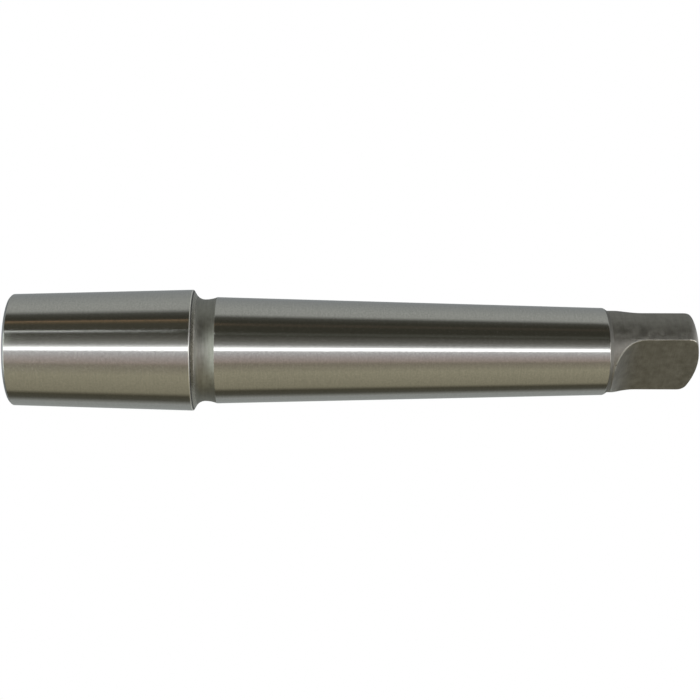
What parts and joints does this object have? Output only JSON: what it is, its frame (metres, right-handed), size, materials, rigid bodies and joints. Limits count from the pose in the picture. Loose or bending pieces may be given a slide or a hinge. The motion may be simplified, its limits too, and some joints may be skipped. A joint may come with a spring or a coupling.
{
  "type": "taper shank chuck arbor",
  "caption": "Drill chuck arbor: a short self-holding chuck taper, a relief neck, and a long tapered shank that ends in a flat driving tang.",
  "frame": {"origin": "centre of the end face of the chuck taper, on which the arbor stands", "axes": "+Z along the axis towards the tang, +Y out of one flat of the tang, +X along the tang's width"},
  "size_m": [0.0206, 0.0206, 0.1164],
  "materials": {
    "steel": "tapers ground and polished round the axis, relief neck turned, tang left dull"
  },
  "bodies": {
    "root": {"arbor": "steel"}
  },
  "joints": []
}
